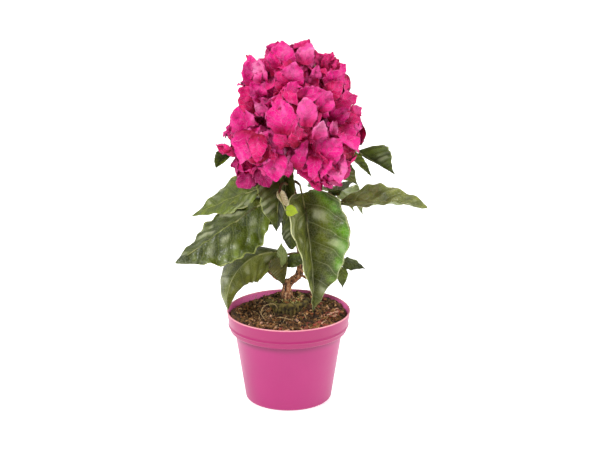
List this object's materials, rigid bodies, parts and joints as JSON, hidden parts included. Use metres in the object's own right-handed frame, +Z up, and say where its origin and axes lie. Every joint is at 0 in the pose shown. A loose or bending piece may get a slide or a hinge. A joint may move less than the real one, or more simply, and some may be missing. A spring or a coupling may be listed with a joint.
{
  "type": "bougainvillea bush",
  "caption": "Small flowering bougainvillea on one short woody stem, with a rounded cone of magenta bracts over large green leaves, in a round plastic pot of compost.",
  "frame": {"origin": "middle of the pot's flat underside", "axes": "+Z up, +X to the right and -Y to the front as the plant is seen, with the longest leaf to the front"},
  "size_m": [0.2365, 0.1723, 0.3496],
  "materials": {
    "pot": "satin injection-moulded magenta plastic, faintly mottled with dust",
    "compost": "damp crumbly brown compost with bark chips and fibres",
    "root_plug": "ribbed plug of fibrous compost with a mossy olive top",
    "bark": "rough grey-brown bark",
    "leaf": "soft green leaf with a pale midrib and yellowish margins",
    "bract": "papery magenta bract with darker veins"
  },
  "bodies": {
    "root": {"pot": "pot", "compost": "compost", "root_plug": "root_plug", "trunk": "bark", "leader": "bark", "bough_left": "bark", "spur": "bark", "leaves_left": "leaf", "leaves_left_tip": "leaf", "leaves_middle": "leaf", "leaves_front": "leaf", "leaves_right": "leaf", "leaves_right_top": "leaf", "leaves_left_low": "leaf", "leaves_stub": "leaf", "leaves_right_low": "leaf", "leaves_back_left": "leaf", "leaves_back_right": "leaf", "leaves_back_low": "leaf", "bracts_top": "bract", "bracts_front": "bract", "bracts_upper_left": "bract", "bracts_upper_right": "bract", "bracts_left": "bract", "bracts_right": "bract", "bracts_front_left": "bract", "bracts_front_right": "bract", "bracts_low_left": "bract", "bracts_back_top": "bract", "bracts_back_left": "bract", "bracts_back_right": "bract", "bracts_back": "bract"}
  },
  "joints": []
}
